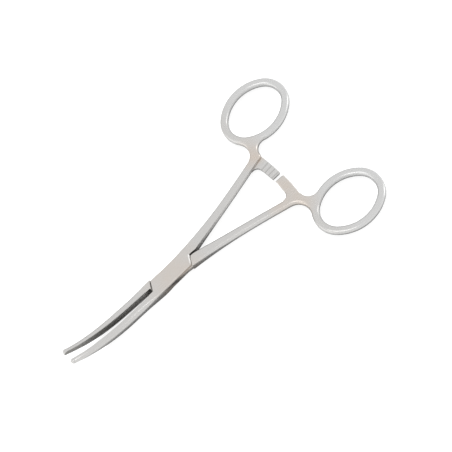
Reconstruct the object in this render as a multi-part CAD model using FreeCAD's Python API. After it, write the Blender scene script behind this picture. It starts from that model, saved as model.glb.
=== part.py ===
import FreeCAD, Part
import math
import os

# Curved artery forceps with a box lock, 14 cm class, in millimetres.
# The pivot axis is Z at the origin and the back face of the lock lies at z = 0.
# The jaws point to -X and curve towards +Z, and the finger rings lie at +X.
# Each half is drawn in the closed pose and then swung open to the rest pose.
# The box half has its ring at +Y and its jaw at -Y, the insert half the other way round.

# Rest pose and running clearances
REST_OPENING = 3.9
CLOSED_GAP = 0.10
SLOT_PLAY = 0.04
SHOULDER_PLAY = 0.08
PIN_PLAY = 0.03

# Box lock
LOCK_LENGTH = 20.8
LOCK_WIDTH = 7.2
LOCK_THICKNESS = 5.0
LOCK_EDGE_RADIUS = 0.6
PLATE_END_CHAMFER = 0.25
SLOT_HEIGHT = 2.2
SHOULDER_ANGLE = 30.0
SLOT_WALL_ANGLE = 32.0
PIN_DIAMETER = 2.4

# Jaws: straight out of the lock, then along one arc towards +Z
JAW_STRAIGHT = 25.0
JAW_ARC_RADIUS = 46.0
JAW_ARC_ANGLE = 37.8
JAW_SET_ANGLE = 0.7
JAW_MIDDLE_DEPTH = 3.2
JAW_TIP_HEIGHT = 2.4
JAW_TIP_DEPTH = 1.95
JAW_BACK_RADIUS = 1.5
JAW_TIP_ROUNDING = 1.0

# Cross serrations on the jaw faces
TOOTH_PITCH = 0.6
TOOTH_DEPTH = 0.26
TOOTH_LAND = 0.1
TOOTH_FIRST = 0.9
TOOTH_LAST = 2.6

# Shanks: the middle line is offset + slope * x + bow * x * x from the closed middle plane
SHANK_OFFSET = 0.34
SHANK_SLOPE = 0.119
SHANK_BOW = 0.00107
SHANK_ROOT_WIDTH = 6.2
SHANK_WIDTH = 3.4
SHANK_TAPER_LENGTH = 14.0
HANDLE_THICKNESS = 3.3
EDGE_ROUNDING = 1.3

# Finger rings: oval, the long axis toed out from X, placed from the ratchet and the shank
RING_BEFORE_RATCHET = 1.0
RING_CLEAR_OF_SHANK = 3.96
RING_HALF_LENGTH = 14.5
RING_HALF_WIDTH = 11.2
RING_END_RADIUS = 9.3
RING_WIRE = 3.3
RING_TOE_OUT = 3.2
OUTER_FILLET = 5.8
CORNER_ROUNDING = 1.5

# Ratchet arms: two layers that pass over each other along an arc about the pivot
RATCHET_RADIUS = 58.8
RATCHET_WIDTH = 5.0
RATCHET_TAPER = 0.5
RATCHET_TO_SHANK_END = 12.8
LOWER_REACH = 1.2
UPPER_REACH = 0.65
RATCHET_PLAY = 0.1
RATCHET_FILLET = 2.5
RATCHET_EDGE = 0.35
RATCHET_INSET = 0.12
RATCHET_STEP = 0.25
RATCHET_PITCH = 2.0
RATCHET_LAND = 0.5
RATCHET_TOOTH = 0.5
RATCHET_TEETH = 4

# Values that follow from the sizes above
MIDDLE_Z = LOCK_THICKNESS / 2
HALF_LENGTH = LOCK_LENGTH / 2
HALF_GAP = CLOSED_GAP / 2
SHOULDER_SLOPE = math.tan(math.radians(SHOULDER_ANGLE))
WALL_SLOPE = math.tan(math.radians(SLOT_WALL_ANGLE))
SET_SLOPE = math.tan(math.radians(JAW_SET_ANGLE))
JAW_LENGTH = JAW_STRAIGHT + JAW_ARC_RADIUS * math.radians(JAW_ARC_ANGLE)
JAW_TIP_X = -JAW_STRAIGHT - JAW_ARC_RADIUS * math.sin(math.radians(JAW_ARC_ANGLE))
RATCHET_NEAR = RATCHET_RADIUS - RATCHET_WIDTH / 2
RATCHET_FAR = RATCHET_RADIUS + RATCHET_WIDTH / 2
SHANK_END = RATCHET_RADIUS - RATCHET_TO_SHANK_END
SHANK_AT_RATCHET = SHANK_OFFSET + SHANK_SLOPE * RATCHET_RADIUS + SHANK_BOW * RATCHET_RADIUS ** 2
RING_X = RATCHET_RADIUS - RING_BEFORE_RATCHET + RING_HALF_LENGTH
RING_Y = SHANK_AT_RATCHET + RING_CLEAR_OF_SHANK + RING_HALF_WIDTH
FAR = 100.0
SIDE = 12.0
SEAM_TOLERANCE = 0.002


def vec(x, y, z=0.0):
    return FreeCAD.Vector(x, y, z)


def prism(points, low, high):
    """Upright prism over a plan polygon, from z = low to z = high."""
    corners = [vec(x, y, low) for x, y in points]
    face = Part.Face(Part.makePolygon(corners + corners[:1]))
    return face.extrude(vec(0, 0, high - low))


def mirrored(shape):
    """The same form on the other side of the closed middle plane."""
    return shape.mirror(vec(0, 0), vec(0, 1))


def rounded_section(centre, across, up, width, height, radius):
    """Rectangular wire with round corners in the plane of two unit directions."""
    a = width / 2
    b = height / 2
    r = min(radius, 0.96 * a, 0.96 * b)
    bulge = r * (1 - math.sqrt(0.5))

    def at(i, j):
        return centre + across * i + up * j

    edges = []
    for i, j in ((1, 1), (-1, 1), (-1, -1), (1, -1)):
        side_end = at(i * a, j * (b - r))
        flat_end = at(i * (a - r), j * b)
        corner = at(i * (a - bulge), j * (b - bulge))
        start, end = (side_end, flat_end) if i * j > 0 else (flat_end, side_end)
        edges.append(Part.Arc(start, corner, end).toShape())
        if (i, j) == (1, 1):
            edges.append(Part.LineSegment(end, at(-(a - r), b)).toShape())
        elif (i, j) == (-1, 1):
            edges.append(Part.LineSegment(end, at(-a, -(b - r))).toShape())
        elif (i, j) == (-1, -1):
            edges.append(Part.LineSegment(end, at(a - r, -b)).toShape())
        else:
            edges.append(Part.LineSegment(end, at(a, b - r)).toShape())
    return Part.Wire(edges)


def jaw_frame(distance):
    """Point on the jaw's middle line at a distance from the pivot, with tangent and normal."""
    angle = max(0.0, (distance - JAW_STRAIGHT) / JAW_ARC_RADIUS)
    x = -min(distance, JAW_STRAIGHT) - JAW_ARC_RADIUS * math.sin(angle)
    z = MIDDLE_Z + JAW_ARC_RADIUS * (1 - math.cos(angle))
    tangent = vec(-math.cos(angle), 0, math.sin(angle))
    normal = vec(math.sin(angle), 0, math.cos(angle))
    return vec(x, 0, z), tangent, normal


def jaw_face_y(x):
    """Closed place of the box half's jaw face: the tips meet first."""
    return -HALF_GAP / 2 - SET_SLOPE * (x - JAW_TIP_X)


def jaw_blank():
    """Both sides of a jaw as one bar, tapered along the arc, with a rounded end."""
    arc_length = JAW_LENGTH - JAW_STRAIGHT
    stations = (
        (0.3 * HALF_LENGTH, LOCK_WIDTH / 2, LOCK_THICKNESS),
        (HALF_LENGTH, LOCK_WIDTH / 2, LOCK_THICKNESS),
        (0.5 * (HALF_LENGTH + JAW_STRAIGHT), 0.5 * (LOCK_WIDTH / 2 + JAW_MIDDLE_DEPTH), 0.99 * LOCK_THICKNESS),
        (JAW_STRAIGHT, JAW_MIDDLE_DEPTH, 0.98 * LOCK_THICKNESS),
        (JAW_STRAIGHT + 0.3 * arc_length, 0.3 * JAW_TIP_DEPTH + 0.7 * JAW_MIDDLE_DEPTH, 0.95 * LOCK_THICKNESS),
        (JAW_STRAIGHT + 0.65 * arc_length, 0.7 * JAW_TIP_DEPTH + 0.3 * JAW_MIDDLE_DEPTH, 0.74 * LOCK_THICKNESS),
        (JAW_LENGTH, JAW_TIP_DEPTH, JAW_TIP_HEIGHT),
    )
    wires = []
    for distance, depth, height in stations:
        point, tangent, normal = jaw_frame(distance)
        radius = LOCK_EDGE_RADIUS if distance <= HALF_LENGTH else JAW_BACK_RADIUS
        wires.append(rounded_section(point, vec(0, 1), normal, 2 * depth, height, radius))
    bar = Part.makeLoft(wires, True, False)
    tip, tangent, normal = jaw_frame(JAW_LENGTH)
    end_edges = []
    for edge in bar.Edges:
        if all(abs((vertex.Point - tip).dot(tangent)) < 0.001 for vertex in edge.Vertexes):
            end_edges.append(edge)
    return bar.makeFillet(JAW_TIP_ROUNDING, end_edges)


def jaw_grooves(shift):
    """V grooves across the box half's jaw face, from the tip back to the lock."""
    half_width = (TOOTH_PITCH - TOOTH_LAND) / 2
    rise = TOOTH_DEPTH
    reach = LOCK_THICKNESS
    grooves = []
    distance = JAW_LENGTH - TOOTH_FIRST - shift
    while distance > HALF_LENGTH + TOOTH_LAST:
        point, tangent, normal = jaw_frame(distance)
        point.y = jaw_face_y(point.x)
        flank = tangent * (half_width * (TOOTH_DEPTH + rise) / TOOTH_DEPTH)
        start = point - normal * reach
        corners = [start + flank + vec(0, rise), start - flank + vec(0, rise), start - vec(0, TOOTH_DEPTH)]
        face = Part.Face(Part.makePolygon(corners + corners[:1]))
        grooves.append(face.extrude(normal * (2 * reach)))
        distance -= TOOTH_PITCH
    return grooves


def shank_middle(x):
    return SHANK_OFFSET + SHANK_SLOPE * x + SHANK_BOW * x * x


def shank_direction(x):
    """Unit direction of the shank's middle line, and the unit direction to its outer side."""
    angle = math.atan(SHANK_SLOPE + 2 * SHANK_BOW * x)
    return vec(math.cos(angle), math.sin(angle)), vec(-math.sin(angle), math.cos(angle))


def shank():
    """Shank of the +Y handle, from inside the lock to the start of the flat handle."""
    wires = []
    for share in (0.05, 0.17, 0.26, 0.36, 0.52, 0.74, 1.0):
        x = share * SHANK_END
        fade = (math.exp(-x / SHANK_TAPER_LENGTH) - math.exp(-SHANK_END / SHANK_TAPER_LENGTH))
        width = SHANK_WIDTH + (SHANK_ROOT_WIDTH - SHANK_WIDTH) * fade
        thin = max(0.0, (x - 0.8 * HALF_LENGTH) / (SHANK_END - 0.8 * HALF_LENGTH))
        drop = math.sin(0.5 * math.pi * min(1.0, 1.15 * thin))
        thickness = LOCK_THICKNESS + (HANDLE_THICKNESS - LOCK_THICKNESS) * drop
        radius = LOCK_EDGE_RADIUS + (EDGE_ROUNDING - LOCK_EDGE_RADIUS) * min(1.0, 2 * thin)
        along, outward = shank_direction(x)
        centre = vec(x, shank_middle(x), MIDDLE_Z)
        wires.append(rounded_section(centre, outward, vec(0, 0, 1), width, thickness, radius))
    return Part.makeLoft(wires, True, False)


def ring_arcs(grow):
    """The ring's centre line as four tangent arcs, grown outwards: centre, radius, first and last angle."""
    side_radius = ((RING_HALF_LENGTH - RING_END_RADIUS) ** 2 + RING_HALF_WIDTH ** 2 - RING_END_RADIUS ** 2)
    side_radius /= 2 * (RING_HALF_WIDTH - RING_END_RADIUS)
    end_shift = RING_HALF_LENGTH - RING_END_RADIUS
    side_shift = side_radius - RING_HALF_WIDTH
    corner = math.atan2(side_shift, end_shift)
    toe = math.radians(RING_TOE_OUT)
    centre = vec(RING_X, RING_Y)
    lengthwise = vec(math.cos(toe), math.sin(toe))
    sideways = vec(-math.sin(toe), math.cos(toe))
    end_radius = RING_END_RADIUS + grow
    side_radius += grow
    return [
        (centre + lengthwise * end_shift, end_radius, toe - corner, toe + corner),
        (centre - sideways * side_shift, side_radius, toe + corner, toe + math.pi - corner),
        (centre - lengthwise * end_shift, end_radius, toe + math.pi - corner, toe + math.pi + corner),
        (centre + sideways * side_shift, side_radius, toe + math.pi + corner, toe + 2 * math.pi - corner),
    ]


def arc_edge(centre, radius, first, last):
    return Part.Arc(Part.Circle(centre, vec(0, 0, 1), radius), first, last).toShape()


def ring_outline(grow):
    return Part.Wire([arc_edge(*arc) for arc in ring_arcs(grow)])


def angle_on(arc, point):
    """Angle of a point on an arc, or None if the point isn't on it."""
    centre, radius, first, last = arc
    away = point - centre
    if abs(away.Length - radius) > 0.001:
        return None
    angle = math.atan2(away.y, away.x)
    while angle < first - 0.0001:
        angle += 2 * math.pi
    return angle if angle <= last + 0.0001 else None


def ring_run(start, end, grow):
    """Arcs of the ring's outline, counter-clockwise from one point to another."""
    edges = []
    started = False
    for arc in ring_arcs(grow) * 2:
        centre, radius, first, last = arc
        if not started:
            angle = angle_on(arc, start)
            if angle is None:
                continue
            started = True
            edges.append(arc_edge(centre, radius, angle, last))
            continue
        angle = angle_on(arc, end)
        if angle is not None:
            edges.append(arc_edge(centre, radius, first, angle))
            break
        edges.append(arc_edge(centre, radius, first, last))
    return edges


def first_place(place, clear):
    """First position between 0 and 1 where a circle's centre is no longer clear of its neighbour."""
    near = 0.0
    far = 1.0
    for _ in range(40):
        middle = (near + far) / 2
        if clear(place(middle)):
            near = middle
        else:
            far = middle
    return place(far)


def nearest(outline, point):
    return outline.distToShape(Part.Vertex(point))[1][0][0]


def polar(radius, angle):
    return vec(radius * math.cos(angle), radius * math.sin(angle))


def arc_between(centre, radius, start, end):
    """Short arc about a centre between two points at that radius."""
    middle = (start + end) * 0.5 - centre
    middle.normalize()
    return Part.Arc(start, centre + middle * radius, end).toShape()


def handle_points():
    """Corner points of the flat handle where the shank runs into the ring."""
    along, outward = shank_direction(SHANK_END)
    end = vec(SHANK_END, shank_middle(SHANK_END))
    outer = end + outward * (SHANK_WIDTH / 2)
    inner = end - outward * (SHANK_WIDTH / 2)
    ring = ring_outline(RING_WIRE / 2)

    def beside_shank(share):
        return outer + outward * OUTER_FILLET + along * (share * RING_X / 2)

    advance = inner.dot(along)
    run = math.sqrt(advance ** 2 + RATCHET_FAR ** 2 - inner.Length ** 2) - advance
    foot = inner + along * run

    def beyond_foot(share):
        return foot * (1 + share * RING_HALF_WIDTH / RATCHET_FAR)

    outer_centre = first_place(beside_shank, lambda c: (c - nearest(ring, c)).Length > OUTER_FILLET)
    inner_centre = first_place(beyond_foot, lambda c: (c - nearest(ring, c)).Length > (c - foot).Length)
    return {
        "outer": outer,
        "inner": inner,
        "outer_centre": outer_centre,
        "outer_foot": outer_centre - outward * OUTER_FILLET,
        "outer_touch": nearest(ring, outer_centre),
        "inner_centre": inner_centre,
        "inner_radius": (inner_centre - foot).Length,
        "inner_foot": foot,
        "inner_touch": nearest(ring, inner_centre),
    }


def handle_body():
    """Flat handle of full thickness: the end of the shank and the finger ring."""
    p = handle_points()
    outline = [
        Part.LineSegment(p["outer"], p["outer_foot"]).toShape(),
        arc_between(p["outer_centre"], OUTER_FILLET, p["outer_foot"], p["outer_touch"]),
    ]
    outline += ring_run(p["inner_touch"], p["outer_touch"], RING_WIRE / 2)[::-1]
    outline += [
        arc_between(p["inner_centre"], p["inner_radius"], p["inner_touch"], p["inner_foot"]),
        Part.LineSegment(p["inner_foot"], p["inner"]).toShape(),
        Part.LineSegment(p["inner"], p["outer"]).toShape(),
    ]
    hole = Part.Face(ring_outline(-RING_WIRE / 2))
    plan = Part.Face(Part.Wire(outline)).cut(hole)
    low = MIDDLE_Z - HANDLE_THICKNESS / 2
    plan.translate(vec(0, 0, low))
    body = plan.extrude(vec(0, 0, HANDLE_THICKNESS))
    corner = [edge for edge in body.Edges if is_upright_at(edge, p["inner_foot"])]
    body = body.makeFillet(CORNER_ROUNDING, corner)
    along, outward = shank_direction(SHANK_END)
    rim = []
    for edge in body.Edges:
        box = edge.BoundBox
        flat = box.ZLength < 0.001
        at_start = all(abs((v.Point - p["inner"]).dot(along)) < 0.001 for v in edge.Vertexes)
        if flat and not at_start:
            rim.append(edge)
    return body.makeFillet(EDGE_ROUNDING, rim)


def is_upright_at(edge, point):
    box = edge.BoundBox
    upright = box.XLength < 0.001 and box.YLength < 0.001
    return upright and math.hypot(box.XMin - point.x, box.YMin - point.y) < 0.001


def ratchet_arm(reach, lower):
    """One layer of the ratchet on the +Y handle, with its teeth towards the middle plane."""
    p = handle_points()
    inner = p["inner"]
    foot = p["inner_foot"]
    run = foot - inner
    run.normalize()
    side = vec(-run.y, run.x)
    end_angle = -reach / RATCHET_RADIUS
    root_angle = math.atan2(foot.y, foot.x) + 0.5 * SHANK_WIDTH / RATCHET_FAR
    far_radius = RATCHET_FAR - RATCHET_STEP - RATCHET_TAPER
    far_origin = vec(0, RATCHET_TAPER / math.sin(root_angle))

    def beside_arm(share):
        return polar(RATCHET_NEAR - RATCHET_FILLET, share * math.pi / 4)

    centre = first_place(beside_arm, lambda c: (inner - c).dot(side) > RATCHET_FILLET)
    shank_touch = centre + side * RATCHET_FILLET
    arm_touch = centre * (RATCHET_NEAR / (RATCHET_NEAR - RATCHET_FILLET))
    near_end = polar(RATCHET_NEAR, end_angle)
    far_end = far_origin + polar(far_radius, end_angle - far_origin.y / far_radius)
    far_root = far_origin + polar(far_radius, root_angle - far_origin.y / far_radius)
    back = shank_touch + side * SHANK_WIDTH * 0.5
    origin = vec(0, 0)
    outline = Part.Wire([
        Part.LineSegment(near_end, far_end).toShape(),
        arc_between(far_origin, far_radius, far_end, far_root),
        Part.LineSegment(far_root, back).toShape(),
        Part.LineSegment(back, shank_touch).toShape(),
        arc_between(centre, RATCHET_FILLET, shank_touch, arm_touch),
        arc_between(origin, RATCHET_NEAR, arm_touch, near_end),
    ])
    face = Part.Face(outline)
    layer = (HANDLE_THICKNESS - RATCHET_PLAY) / 2 - RATCHET_INSET
    low = MIDDLE_Z - HANDLE_THICKNESS / 2 + RATCHET_INSET if lower else MIDDLE_Z + RATCHET_PLAY / 2
    face.translate(vec(0, 0, low))
    arm = face.extrude(vec(0, 0, layer))
    outer_z = low if lower else low + layer
    rim = []
    for edge in arm.Edges:
        box = edge.BoundBox
        on_face = abs(box.ZMin - outer_z) < 0.001 and abs(box.ZMax - outer_z) < 0.001
        middle = edge.valueAt((edge.FirstParameter + edge.LastParameter) / 2)
        outside = middle.y < shank_touch.y
        if on_face and outside:
            rim.append(edge)
    arm = arm.makeChamfer(RATCHET_EDGE, rim)
    return cut_all(arm, ratchet_grooves(reach, lower))


def ratchet_grooves(reach, lower):
    """Grooves between saw teeth: each tooth has its catch side towards the ring, its ramp towards the end."""
    tooth_side = 1 if lower else -1
    z = MIDDLE_Z - tooth_side * RATCHET_PLAY / 2
    lip = z + tooth_side * RATCHET_TOOTH / 2
    root = z - tooth_side * RATCHET_TOOTH
    start = RATCHET_NEAR - RATCHET_WIDTH
    ramp = RATCHET_PITCH - RATCHET_LAND
    flat = RATCHET_LAND / 2
    grooves = []
    for i in range(RATCHET_TEETH):
        corners = [
            vec(start, 0, lip), vec(start, 0, root), vec(start, flat, root),
            vec(start, ramp, z), vec(start, ramp, lip),
        ]
        face = Part.Face(Part.makePolygon(corners + corners[:1]))
        groove = face.extrude(vec(3 * RATCHET_WIDTH, 0))
        arc = RATCHET_LAND + i * RATCHET_PITCH - reach
        groove.rotate(vec(0, 0), vec(0, 0, 1), math.degrees(arc / RATCHET_RADIUS))
        grooves.append(groove)
    return grooves


def handle(reach, lower):
    """The +Y handle in one piece: shank, ring and ratchet arm."""
    return shank().fuse([handle_body(), ratchet_arm(reach, lower)], SEAM_TOLERANCE)


def cut_all(shape, tools):
    return shape.cut(Part.Compound(tools))


def lock_block():
    """The lock's outer form: a bar with rounded long edges."""
    section = rounded_section(vec(-HALF_LENGTH, 0, MIDDLE_Z), vec(0, 1), vec(0, 0, 1),
                              LOCK_WIDTH, LOCK_THICKNESS, LOCK_EDGE_RADIUS)
    return Part.Face(section).extrude(vec(LOCK_LENGTH, 0))


def shoulder_x(y, end):
    """Plan line of the box plates' end: end is -1 at the jaws and 1 at the shanks."""
    return end * HALF_LENGTH + y * SHOULDER_SLOPE


def wall_x(y, end):
    """Plan line of the slot's end wall: end is -1 at the jaws and 1 at the shanks."""
    return end * HALF_LENGTH - y * WALL_SLOPE


def meeting_y(line, end):
    """Where an end line crosses the box half's jaw face."""
    y = 0.0
    for _ in range(20):
        y = jaw_face_y(line(y, end))
    return y


def plate_end_wedges(jaw_y):
    """Cuts that ease the edges of the plates' end faces on the lock's front and back."""
    play = SHOULDER_PLAY
    depth = PLATE_END_CHAMFER + play
    wedges = []
    for end, first, last in ((1, -SIDE, -HALF_GAP), (-1, jaw_y + play, SIDE)):
        start = vec(shoulder_x(first, end), first)
        along = vec(shoulder_x(last, end), last) - start
        inward = vec(-along.y, along.x) * (end / along.Length)
        for level, up in ((LOCK_THICKNESS, vec(0, 0, 1)), (0.0, vec(0, 0, -1))):
            edge = start + vec(0, 0, level)
            corners = [
                edge + inward * depth + up * play,
                edge - inward * play + up * play,
                edge - inward * play - up * depth,
            ]
            face = Part.Face(Part.makePolygon(corners + corners[:1]))
            wedges.append(face.extrude(along))
    return wedges


def box_half():
    """Half with the slotted box, the -Y jaw and the +Y handle."""
    low = -SIDE
    high = JAW_ARC_RADIUS
    jaw_y = meeting_y(shoulder_x, -1)
    slot_y = meeting_y(wall_x, -1)
    handle_side = prism([
        (shoulder_x(HALF_GAP, 1), HALF_GAP), (SHANK_END, HALF_GAP), (SHANK_END, -SIDE),
        (shoulder_x(-SIDE, 1), -SIDE),
    ], low, high)
    jaw_side = prism([
        (shoulder_x(jaw_y, -1), jaw_y), (shoulder_x(SIDE, -1), SIDE), (-FAR, SIDE), (-FAR, jaw_face_y(-FAR)),
    ], low, high)
    slot = prism([
        (wall_x(HALF_GAP, 1), HALF_GAP), (wall_x(SIDE, 1), SIDE), (shoulder_x(SIDE, -1), SIDE),
        (shoulder_x(jaw_y, -1), jaw_y), (wall_x(slot_y, -1), slot_y), (wall_x(-SIDE, -1), -SIDE),
        (shoulder_x(-SIDE, 1), -SIDE), (shoulder_x(HALF_GAP, 1), HALF_GAP),
    ], MIDDLE_Z - SLOT_HEIGHT / 2, MIDDLE_Z + SLOT_HEIGHT / 2)
    jaw = cut_all(jaw_blank(), jaw_grooves(0.0))
    metal = lock_block().fuse([jaw, handle(LOWER_REACH, True)])
    metal = metal.cut(handle_side).cut(jaw_side).cut(slot)
    metal = cut_all(metal, plate_end_wedges(jaw_y))
    hole = Part.makeCylinder(PIN_DIAMETER / 2, LOCK_THICKNESS)
    return metal.cut(hole).removeSplitter()


def insert_half():
    """Half whose thin waist passes through the slot, with the +Y jaw and the -Y handle."""
    low = -SIDE
    high = JAW_ARC_RADIUS
    play = SHOULDER_PLAY
    slot_y = meeting_y(wall_x, -1)
    handle_side = prism([
        (wall_x(-HALF_GAP, 1) - play, -HALF_GAP), (SHANK_END, -HALF_GAP), (SHANK_END, SIDE),
        (wall_x(SIDE, 1) - play, SIDE),
    ], low, high)
    jaw_side = prism([
        (wall_x(-slot_y, -1) + play, -slot_y), (wall_x(-SIDE, -1) + play, -SIDE), (-FAR, -SIDE),
        (-FAR, -jaw_face_y(-FAR)),
    ], low, high)
    plates = [
        (shoulder_x(-SIDE, -1) - play, -SIDE), (shoulder_x(SIDE, -1) - play, SIDE),
        (shoulder_x(SIDE, 1) + play, SIDE), (shoulder_x(-SIDE, 1) + play, -SIDE),
    ]
    back_plate = prism(plates, low, MIDDLE_Z - SLOT_HEIGHT / 2 + SLOT_PLAY)
    front_plate = prism(plates, MIDDLE_Z + SLOT_HEIGHT / 2 - SLOT_PLAY, high)
    jaw = mirrored(cut_all(jaw_blank(), jaw_grooves(TOOTH_PITCH / 2)))
    metal = lock_block().fuse([jaw, mirrored(handle(UPPER_REACH, False))])
    metal = metal.cut(handle_side).cut(jaw_side).cut(back_plate).cut(front_plate)
    hole = Part.makeCylinder(PIN_DIAMETER / 2 + PIN_PLAY, LOCK_THICKNESS)
    return metal.cut(hole).removeSplitter()


def pivot_pin():
    """Riveted pin, flush with both plates."""
    return Part.makeCylinder(PIN_DIAMETER / 2, LOCK_THICKNESS)


def swing(shape, angle):
    shape.rotate(vec(0, 0), vec(0, 0, 1), angle)
    return shape


def main():
    os.makedirs("parts", exist_ok=True)
    pieces = {
        "box_half": swing(box_half(), REST_OPENING / 2),
        "insert_half": swing(insert_half(), -REST_OPENING / 2),
        "pivot_pin": pivot_pin(),
    }
    for name, shape in pieces.items():
        box = shape.BoundBox
        print(name, shape.isValid(), len(shape.Solids), round(shape.Volume, 2),
              [round(v, 2) for v in (box.XMin, box.YMin, box.ZMin, box.XMax, box.YMax, box.ZMax)])
        shape.exportStep("parts/" + name + ".step")


main()
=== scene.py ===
import bpy
import math
from mathutils import Matrix, Vector


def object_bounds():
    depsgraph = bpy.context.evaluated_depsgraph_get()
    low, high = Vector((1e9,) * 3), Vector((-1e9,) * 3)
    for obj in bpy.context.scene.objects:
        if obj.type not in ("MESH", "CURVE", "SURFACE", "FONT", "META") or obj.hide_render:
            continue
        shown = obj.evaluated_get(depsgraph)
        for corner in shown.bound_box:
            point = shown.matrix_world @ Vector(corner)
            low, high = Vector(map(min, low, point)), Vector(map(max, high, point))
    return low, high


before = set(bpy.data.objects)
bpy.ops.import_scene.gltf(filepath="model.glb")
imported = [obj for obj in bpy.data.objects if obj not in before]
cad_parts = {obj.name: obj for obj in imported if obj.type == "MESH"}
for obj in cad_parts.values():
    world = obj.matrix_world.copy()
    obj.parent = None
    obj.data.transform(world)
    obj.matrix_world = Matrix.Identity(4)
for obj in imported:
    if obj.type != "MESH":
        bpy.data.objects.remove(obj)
cad_low, cad_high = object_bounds()
scene = bpy.context.scene

# The pieces: a half's number is also the side of Y on which its jaw lies
BOX = -1
PIN = 0
INSERT = 1

# Height of the plane between the two ratchet arms, half the lock's thickness
MIDDLE_PLANE = 0.0025

# Below, a SPAN is the pair of values between which something changes: metres, a share, or how far a
# direction points along an axis. Where the change isn't from 0 to 1, a second pair says from what to what.
FADE_OUT = (1.0, 0.0)

# Camera: its angles about the object in degrees, its distance and aim in metres, its lens in millimetres
CAMERA_AZIMUTH = -13.79
CAMERA_ELEVATION = 66.0
CAMERA_ROLL = -30.0
CAMERA_DISTANCE = 0.7258065
CAMERA_LENS = 143.36
CAMERA_SENSOR = 36.0
CAMERA_NEAR = 0.01
CAMERA_FAR = 20.0
AIM = Vector((0.0291077, -0.0013157, 0.0045904))

# Colours, linear
STEEL = (0.65, 0.64, 0.625)
STEEL_WARM = (0.685, 0.575, 0.48)
STEEL_RING = (0.69, 0.69, 0.685)
STEEL_COOL = (0.59, 0.59, 0.59)
# Painted shade, for seams and corners, ratchet grooves and the lock's slot
PAINTED_SHADE = (0.16, 0.155, 0.15)
# Painted shade on the serrated jaw faces
PAINTED_TOOTH_SHADE = (0.27, 0.265, 0.25)
# Painted highlight along the box plate's end edge
PAINTED_HIGHLIGHT = (0.96, 0.95, 0.93)
WHITE = (1.0, 1.0, 1.0)

# Noises, each by its scale, detail and roughness, and how the brushing is drawn out along X
CLOUD_NOISE = (70.0, 3.0, 0.5)
GRAIN_NOISE = (5200.0, 3.0, 0.6)
BRUSH_NOISE = (1.0, 3.0, 0.55)
PAPER_NOISE = (900.0, 3.0, 0.5)
BRUSH_SCALE = (250.0, 6000.0, 6000.0)

# Finish of the steel: how brushing greys it, how rough grain and brushing leave it, and their relief
METALLIC = 1.0
STREAK_SPAN = (0.35, 0.75)
STREAK_SHARE = (0.0, 0.35)
ROUGH_SPAN = (0.3, 0.7)
GRAIN_ROUGH = (0.19, 0.27)
BRUSH_ROUGH = (-0.02, 0.05)
RELIEF_STRENGTH = 0.12
RELIEF_DEPTH = 0.00002

# Painted shade in seams and corners: how near a neighbour has to be, and how faces at 45 degrees are
# spared
CORNER_SAMPLES = 8
SEAM_REACH = 0.0004
SEAM_SPAN = (0.2, 0.75)
SEAM_SHARE = (0.85, 0.0)
CHAMFER_TILT = math.sqrt(0.5)
CHAMFER_SPAN = (0.1, 0.2)
CHAMFER_SHARE = (0.1, 1.0)

# Warm steel round each neck and over the lock, in soft clouds, and the pale rings
NECK_BOX = (0.058, 0.015, MIDDLE_PLANE)
NECK_BOX_SPAN = (0.003, 0.009)
NECK_BOX_ARM_SPAN = (0.0085, 0.011)
NECK_INSERT = (0.057, -0.011, MIDDLE_PLANE)
NECK_INSERT_SPAN = (0.007, 0.013)
NECK_INSERT_SHARE = (0.7, 0.0)
LOCK_SPAN = (0.005, 0.016)
LOCK_SHARE = (0.6, 0.0)
CLOUD_SPAN = (0.35, 0.65)
CLOUD_SHARE = (0.45, 1.0)
RING_SPAN = (0.058, 0.068)

# Jaw faces: half the angle at which the halves stand open, a closed face's distance from the middle line
# along X, the depth of its teeth, where it begins and where painted shade darkens it, how it faces, and
# how metallic it is
HALF_OPENING = math.radians(1.95)
FACE_LINE_SPAN = (-0.0532, 0.0)
FACE_LINE = (0.0, 0.00064904)
FACE_DEPTH_SPAN = (0.00029, 0.00034)
FACE_START_SPAN = (-0.0135, -0.0125)
FACE_DARK_SPAN = (-0.0135, -0.036)
FACE_DARK_SHARE = (0.15, 1.0)
FACE_SIDEWAYS_SPAN = (0.2, 0.5)
FACE_METAL_SPAN = (0.0, 1.0)
FACE_METAL = (1.0, 0.5)

# Ratchet, with painted shade at the root of its grooves: how deep they go from the plane between the arms,
# how they face, and where the arms lie
GROOVE_SPAN = (0.00034, 0.00055)
GROOVE_SHARE = (0.0, 0.42)
GROOVE_FACING_SPAN = (0.2, 0.6)
ARM_START_SPAN = (0.0552, 0.0557)
ARM_SIDE_SPAN = (0.0085, 0.009)

# Painted shade on the insert half's flank inside the box lock's slot
SLOT_MIDDLE = -0.005
SLOT_SPAN = (0.0045, 0.008)
SLOT_SHARE = (0.8, 0.0)
SLOT_SIDEWAYS_SPAN = (0.5, 0.8)

# Painted highlight along the edge at the end of the box plate: the end's facing and distance from the
# pivot, the edge's width and length, and its height
PLATE_END_FACING = (0.8825, -0.4701, 0)
PLATE_END_AWAY = 0.0086564
PLATE_EDGE_SPAN = (0.00025, 0.00035)
PLATE_EDGE_SHARE = (0.9, 0.0)
PLATE_END_MIDDLE = -0.0011
PLATE_END_SPAN = (0.0014, 0.0019)
PLATE_TOP_SPAN = (0.0045, 0.0046)

# Floor: its size and its drop below the object, its paper, its glow to the camera and in reflections, and
# the painted shadow that darkens its glow in reflections near the object
FLOOR_HALF = 3.0
FLOOR_DROP = 0.00002
FLOOR_TONE = (0.235, 0.235, 0.235)
FLOOR_FIBRE = (0.25, 0.25, 0.25)
FLOOR_CAMERA = 0.83
FLOOR_GLOSSY = 0.4
FLOOR_CONTACT = 0.012
FLOOR_OPEN_SIDE = (0, 0.7, 0.714)
FLOOR_OPEN_SPAN = (0.5, 0.98)

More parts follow.
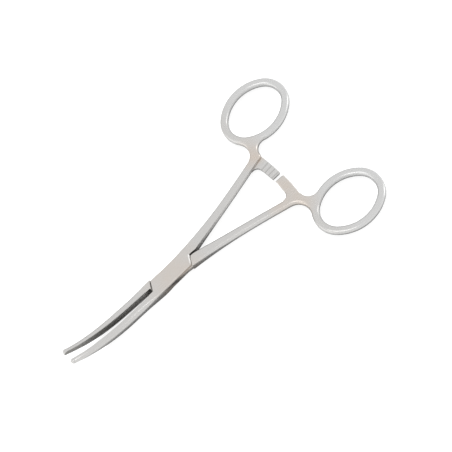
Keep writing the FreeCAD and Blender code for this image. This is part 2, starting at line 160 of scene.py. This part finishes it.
# Tent, by the direction of view from the object: a tone overhead, one low on the viewer's side, bright low
# panels at both ends of X that stop on a slant, and a darker foot on the far side
TENT_HIGH = (0.95, 0.95, 0.95)
TENT_LOW = (0.98, 0.98, 0.98)
TENT_LEFT = (1.35, 1.35, 1.35)
TENT_RIGHT = (2.1, 2.1, 2.1)
TENT_FAR = (0.5, 0.5, 0.5)
VIEWER_FOOT_SPAN = (0.8, 0.3)
VIEWER_SIDE_SPAN = (0.35, -0.1)
PANEL_END_SPAN = (0.75, 0.9)
PANEL_TOP_SPAN = (0.68, 0.5)
PANEL_SLANT = 0.35
PANEL_SLANT_SPAN = (0.3, 0.12)
PANEL_RIGHT_SPAN = (-0.5, 0.5)
FAR_SIDE_SPAN = (0.6, 0.8)
FAR_FOOT_SPAN = (0.3, 0.12)

# Lamps: the point that they face, where they stand, their sizes in metres and their watts
LAMP_TARGET = Vector((0.02, 0, 0))
KEY_PLACE = (-0.30, -0.20, 0.95)
KEY_SIZE = (0.6, 0.4)
KEY_WATTS = 0.76
BACK_PLACE = (0.13, 0.47, 1.10)
BACK_SIZE = (0.3, 0.3)
BACK_WATTS = 26.0


def make_camera():
    """A long lens above the object, rolled so that the jaws point to the lower left."""
    azimuth = math.radians(CAMERA_AZIMUTH)
    elevation = math.radians(CAMERA_ELEVATION)
    roll = math.radians(-CAMERA_ROLL)
    towards = Vector((
        math.cos(elevation) * math.sin(azimuth),
        -math.cos(elevation) * math.cos(azimuth),
        math.sin(elevation),
    ))
    level = Vector((math.cos(azimuth), math.sin(azimuth), 0))
    upright = towards.cross(level)
    right = level * math.cos(roll) - upright * math.sin(roll)
    up = level * math.sin(roll) + upright * math.cos(roll)
    data = bpy.data.cameras.new("camera")
    data.sensor_fit = "HORIZONTAL"
    data.sensor_width = CAMERA_SENSOR
    data.lens = CAMERA_LENS
    data.clip_start = CAMERA_NEAR
    data.clip_end = CAMERA_FAR
    camera = bpy.data.objects.new("camera", data)
    scene.collection.objects.link(camera)
    turn = Matrix((right, up, towards)).transposed().to_4x4()
    camera.matrix_world = Matrix.Translation(AIM + towards * CAMERA_DISTANCE) @ turn
    scene.camera = camera


class Graph:
    """The nodes of one material or world, with a method for each kind of step."""

    def __init__(self, tree):
        self.nodes = tree.nodes
        self.links = tree.links
        self.nodes.clear()

    def add(self, kind, **settings):
        """A bare node with these settings."""
        node = self.nodes.new(kind)
        for key, value in settings.items():
            setattr(node, key, value)
        return node

    def feed(self, socket, value):
        """Link an output to a socket, or set the socket to a number or vector."""
        if isinstance(value, bpy.types.NodeSocket):
            self.links.new(value, socket)
        else:
            socket.default_value = value

    def coordinates(self, kind):
        """Where a point is or how it faces, as Texture Coordinate's output of this name."""
        return self.add("ShaderNodeTexCoord").outputs[kind]

    def parts(self, vector):
        """The X, Y and Z of a vector."""
        node = self.add("ShaderNodeSeparateXYZ")
        self.feed(node.inputs[0], vector)
        return node.outputs["X"], node.outputs["Y"], node.outputs["Z"]

    def facing(self):
        """How far the surface faces along the object's X, Y and Z."""
        return self.parts(self.coordinates("Normal"))

    def mapped(self, place, scale=(1, 1, 1), turn=0.0):
        """A place that is scaled, then turned about Z."""
        node = self.add("ShaderNodeMapping")
        self.feed(node.inputs["Scale"], scale)
        self.feed(node.inputs["Rotation"], (0, 0, turn))
        self.feed(node.inputs["Vector"], place)
        return node.outputs["Vector"]

    def noise(self, place, settings):
        """Soft noise with these settings: scale, detail and roughness."""
        node = self.add("ShaderNodeTexNoise")
        for socket, number in zip(("Scale", "Detail", "Roughness"), settings):
            self.feed(node.inputs[socket], number)
        self.feed(node.inputs["Vector"], place)
        return node.outputs["Fac"]

    def ramp(self, value, span, change=(0.0, 1.0)):
        """Goes evenly through the change while the value goes through the span, and no further."""
        node = self.add("ShaderNodeMapRange", clamp=True)
        for socket, number in zip(("From Min", "From Max", "To Min", "To Max"), (*span, *change)):
            self.feed(node.inputs[socket], number)
        self.feed(node.inputs["Value"], value)
        return node.outputs["Result"]

    def work_out(self, operation, first, second=0.0):
        """One step of arithmetic, by its name in the Math node."""
        node = self.add("ShaderNodeMath", operation=operation)
        self.feed(node.inputs[0], first)
        self.feed(node.inputs[1], second)
        return node.outputs[0]

    def away(self, value, middle=0.0):
        """How far a number is from the middle, on either side."""
        if middle:
            value = self.work_out("SUBTRACT", value, middle)
        return self.work_out("ABSOLUTE", value)

    def product(self, value, *others):
        """All the numbers multiplied."""
        for other in others:
            value = self.work_out("MULTIPLY", value, other)
        return value

    def measure(self, operation, first, second):
        """The DISTANCE between two places, or the DOT_PRODUCT of two vectors."""
        node = self.add("ShaderNodeVectorMath", operation=operation)
        self.feed(node.inputs[0], first)
        self.feed(node.inputs[1], second)
        return node.outputs["Value"]

    def mix(self, share, first, second):
        """The first colour, with this share of the second."""
        node = self.add("ShaderNodeMix", data_type="RGBA")
        colour_sockets = [socket for socket in node.inputs if socket.type == "RGBA"]
        self.feed(node.inputs[0], share)
        for socket, colour in zip(colour_sockets, (first, second)):
            if isinstance(colour, tuple):
                colour = (*colour, 1)
            self.feed(socket, colour)
        return next(socket for socket in node.outputs if socket.type == "RGBA")

    def openness(self, reach, towards=None):
        """One where nothing is within reach of a point, and less in corners or next to something."""
        node = self.add("ShaderNodeAmbientOcclusion", samples=CORNER_SAMPLES)
        self.feed(node.inputs["Distance"], reach)
        if towards:
            direction = self.add("ShaderNodeCombineXYZ")
            for socket, number in zip(direction.inputs, towards):
                self.feed(socket, number)
            self.feed(node.inputs["Normal"], direction.outputs[0])
        return node.outputs["AO"]

    def show(self, output, shader):
        """Make this node's shader the one that is seen."""
        self.feed(self.add(output).inputs["Surface"], shader.outputs[0])


def new_material(name):
    """An empty material, and the graph of its nodes."""
    material = bpy.data.materials.new(name)
    material.use_nodes = True
    return material, Graph(material.node_tree)


def spare_chamfers(graph):
    """Near zero on faces at 45 degrees, which the painted seam shade spares, and one on level and upright
    ones.
    """
    _, _, up = graph.facing()
    tilt = graph.away(graph.away(up), CHAMFER_TILT)
    return graph.ramp(tilt, CHAMFER_SPAN, CHAMFER_SHARE)


def jaw_face_shade(graph, place, side):
    """Where a half's serrated jaw face is, and how much painted shade darkens it, most at the tip."""
    x, y, _ = graph.parts(graph.mapped(place, turn=side * HALF_OPENING))
    face = graph.ramp(x, FACE_LINE_SPAN, FACE_LINE)
    depth = graph.work_out("SUBTRACT", graph.product(y, side), face)
    in_teeth = graph.ramp(depth, FACE_DEPTH_SPAN, FADE_OUT)
    on_jaw = graph.ramp(x, FACE_START_SPAN, FADE_OUT)
    _, sideways, _ = graph.facing()
    upright = graph.ramp(graph.away(sideways), FACE_SIDEWAYS_SPAN)
    serrated_face = graph.product(in_teeth, on_jaw, upright)
    return serrated_face, graph.product(serrated_face, graph.ramp(x, FACE_DARK_SPAN, FACE_DARK_SHARE))


def groove_shade(graph, place, side):
    """How much painted shade darkens a half's ratchet: most at the root of its grooves, and not at all on
    their lands.
    """
    x, y, z = graph.parts(place)
    depth = graph.product(graph.work_out("SUBTRACT", z, MIDDLE_PLANE), side)
    deep = graph.ramp(depth, GROOVE_SPAN, GROOVE_SHARE)
    _, _, up = graph.facing()
    open_face = graph.ramp(graph.product(up, -side), GROOVE_FACING_SPAN)
    on_arm = graph.ramp(x, ARM_START_SPAN)
    between = graph.ramp(graph.away(y), ARM_SIDE_SPAN, FADE_OUT)
    return graph.product(deep, open_face, on_arm, between)


def slot_shade(graph, place):
    """How much painted shade darkens the insert half's flank: most inside the box lock's slot, and not at
    all beyond it.
    """
    x, _, _ = graph.parts(place)
    inside = graph.ramp(graph.away(x, SLOT_MIDDLE), SLOT_SPAN, SLOT_SHARE)
    _, sideways, _ = graph.facing()
    return graph.product(inside, graph.ramp(graph.away(sideways), SLOT_SIDEWAYS_SPAN))


def plate_edge_highlight(graph, place):
    """Near one along the edge at the end of the box plate, where it meets the other half's shank: a
    painted highlight.
    """
    _, y, z = graph.parts(place)
    off = graph.away(graph.measure("DOT_PRODUCT", place, PLATE_END_FACING), PLATE_END_AWAY)
    on_edge = graph.ramp(off, PLATE_EDGE_SPAN, PLATE_EDGE_SHARE)
    along = graph.ramp(graph.away(y, PLATE_END_MIDDLE), PLATE_END_SPAN, FADE_OUT)
    return graph.product(on_edge, along, graph.ramp(z, PLATE_TOP_SPAN))


def toned(graph, place, side):
    """The steel's own tone: warmer over the lock and the necks, paler and neutral in the rings."""
    x, y, _ = graph.parts(place)
    if side == BOX:
        neck = graph.ramp(graph.measure("DISTANCE", place, NECK_BOX), NECK_BOX_SPAN, FADE_OUT)
        neck = graph.product(neck, graph.ramp(graph.away(y), NECK_BOX_ARM_SPAN))
    else:
        neck = graph.measure("DISTANCE", place, NECK_INSERT)
        neck = graph.ramp(neck, NECK_INSERT_SPAN, NECK_INSERT_SHARE)
    lock = graph.ramp(graph.away(x), LOCK_SPAN, LOCK_SHARE)
    cloud = graph.ramp(graph.noise(place, CLOUD_NOISE), CLOUD_SPAN, CLOUD_SHARE)
    warm = graph.product(graph.work_out("MAXIMUM", neck, lock), cloud)
    base = graph.mix(warm, STEEL, STEEL_WARM)
    return graph.mix(graph.ramp(x, RING_SPAN), base, STEEL_RING)


def steel(name, side, brush_turn=0.0):
    """Satin stainless steel: a fine blasted grain, faint brushing along the length, and painted shade in
    its seams and corners.
    """
    material, graph = new_material(name)
    place = graph.coordinates("Object")
    grain = graph.noise(place, GRAIN_NOISE)
    brushing = graph.noise(graph.mapped(place, BRUSH_SCALE, brush_turn), BRUSH_NOISE)

    base = toned(graph, place, side)
    base = graph.mix(graph.ramp(brushing, STREAK_SPAN, STREAK_SHARE), base, STEEL_COOL)
    # Painted shade in seams and corners, darker where a neighbour is near
    seam_shade = graph.ramp(graph.openness(SEAM_REACH), SEAM_SPAN, SEAM_SHARE)
    base = graph.mix(graph.product(seam_shade, spare_chamfers(graph)), base, PAINTED_SHADE)
    shader = graph.add("ShaderNodeBsdfPrincipled")
    graph.feed(shader.inputs["Metallic"], METALLIC)
    if side != PIN:
        serrated_face, tooth_shade = jaw_face_shade(graph, place, side)
        # Painted shade on the serrated jaw faces, strongest towards the tip
        base = graph.mix(tooth_shade, base, PAINTED_TOOTH_SHADE)
        # Painted shade in the ratchet grooves
        base = graph.mix(groove_shade(graph, place, side), base, PAINTED_SHADE)
        graph.feed(shader.inputs["Metallic"], graph.ramp(serrated_face, FACE_METAL_SPAN, FACE_METAL))
    if side == BOX:
        # Painted highlight along the box plate's end edge
        base = graph.mix(plate_edge_highlight(graph, place), base, PAINTED_HIGHLIGHT)
    if side == INSERT:
        # Painted shade on the insert half's flank inside the slot
        base = graph.mix(slot_shade(graph, place), base, PAINTED_SHADE)
    graph.feed(shader.inputs["Base Color"], base)

    grain_rough = graph.ramp(grain, ROUGH_SPAN, GRAIN_ROUGH)
    brush_rough = graph.ramp(brushing, ROUGH_SPAN, BRUSH_ROUGH)
    graph.feed(shader.inputs["Roughness"], graph.work_out("ADD", grain_rough, brush_rough))

    relief = graph.add("ShaderNodeBump")
    graph.feed(relief.inputs["Strength"], RELIEF_STRENGTH)
    graph.feed(relief.inputs["Distance"], RELIEF_DEPTH)
    graph.feed(relief.inputs["Height"], graph.work_out("ADD", grain, brushing))
    graph.feed(shader.inputs["Normal"], relief.outputs["Normal"])
    graph.show("ShaderNodeOutputMaterial", shader)
    return material


def dress(node, material):
    """Give a CAD node its material, and shade its faces smoothly."""
    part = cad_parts[node]
    for slot in part.material_slots:
        slot.material = material
    for face in part.data.polygons:
        face.use_smooth = True


def paper():
    """Matt paper that glows almost white to the camera and in reflections, with a painted shadow on the
    reflected glow near the object.
    """
    material, graph = new_material("paper")
    matt = graph.add("ShaderNodeBsdfDiffuse")
    fibre = graph.noise(graph.coordinates("Object"), PAPER_NOISE)
    graph.feed(matt.inputs["Color"], graph.mix(fibre, FLOOR_TONE, FLOOR_FIBRE))
    ray = graph.add("ShaderNodeLightPath").outputs
    # Painted shadow: the glow in reflections fades near the object, most on the side away from the back
    # lamp
    unshadowed_share = graph.ramp(graph.openness(FLOOR_CONTACT, FLOOR_OPEN_SIDE), FLOOR_OPEN_SPAN)
    seen = graph.product(ray["Is Camera Ray"], FLOOR_CAMERA)
    mirrored = graph.product(ray["Is Glossy Ray"], FLOOR_GLOSSY, unshadowed_share)
    glow = graph.add("ShaderNodeEmission")
    graph.feed(glow.inputs["Strength"], graph.work_out("ADD", seen, mirrored))
    both = graph.add("ShaderNodeAddShader")
    graph.feed(both.inputs[0], matt.outputs[0])
    graph.feed(both.inputs[1], glow.outputs[0])
    graph.show("ShaderNodeOutputMaterial", both)
    return material


def make_floor():
    """A sheet of paper just under the object, which keeps the object's soft shadow."""
    z = min(cad_low.z, 0.0) - FLOOR_DROP
    corners = [(x * FLOOR_HALF, y * FLOOR_HALF, z) for x, y in ((-1, -1), (1, -1), (1, 1), (-1, 1))]
    mesh = bpy.data.meshes.new("floor")
    mesh.from_pydata(corners, [], [(0, 1, 2, 3)])
    mesh.materials.append(paper())
    floor = bpy.data.objects.new("floor", mesh)
    scene.collection.objects.link(floor)


def make_world():
    """A pale tent with bright panels low at both ends and a darker foot behind, white to the camera."""
    world = bpy.data.worlds.new("tent")
    world.use_nodes = True
    scene.world = world
    graph = Graph(world.node_tree)
    x, y, z = graph.parts(graph.coordinates("Generated"))
    near = graph.product(graph.ramp(z, VIEWER_FOOT_SPAN), graph.ramp(y, VIEWER_SIDE_SPAN))
    tent = graph.mix(near, TENT_HIGH, TENT_LOW)
    at_end = graph.ramp(graph.away(x), PANEL_END_SPAN)
    below_top = graph.ramp(z, PANEL_TOP_SPAN)
    slant = graph.work_out("ADD", y, graph.product(x, PANEL_SLANT))
    panel = graph.product(at_end, below_top, graph.ramp(slant, PANEL_SLANT_SPAN))
    panel_tone = graph.mix(graph.ramp(x, PANEL_RIGHT_SPAN), TENT_LEFT, TENT_RIGHT)
    tent = graph.mix(panel, tent, panel_tone)
    far = graph.product(graph.ramp(y, FAR_SIDE_SPAN), graph.ramp(z, FAR_FOOT_SPAN))
    tent = graph.mix(far, tent, TENT_FAR)
    camera_ray = graph.add("ShaderNodeLightPath").outputs["Is Camera Ray"]
    background = graph.add("ShaderNodeBackground")
    graph.feed(background.inputs["Color"], graph.mix(camera_ray, tent, WHITE))
    graph.show("ShaderNodeOutputWorld", background)


def softbox(name, place, size, watts):
    """A rectangular lamp that is turned to the object."""
    data = bpy.data.lights.new(name, "AREA")
    data.shape = "RECTANGLE"
    data.size, data.size_y = size
    data.energy = watts
    lamp = bpy.data.objects.new(name, data)
    scene.collection.objects.link(lamp)
    lamp.location = place
    lamp.rotation_euler = (LAMP_TARGET - Vector(place)).to_track_quat("-Z", "Y").to_euler()
    return lamp


def make_lights():
    """A weak key lamp, and a strong one behind that reflections don't show."""
    softbox("key", KEY_PLACE, KEY_SIZE, KEY_WATTS)
    back = softbox("back", BACK_PLACE, BACK_SIZE, BACK_WATTS)
    back.visible_glossy = False


def main():
    """Build the scene and dress the CAD nodes."""
    make_camera()
    make_floor()
    make_world()
    make_lights()
    dress("box_half", steel("satin_steel_box", BOX))
    dress("insert_half", steel("satin_steel_insert", INSERT))
    dress("pivot_pin", steel("pin_steel", PIN, math.pi / 2))
    scene.view_settings.view_transform = "Standard"


main()
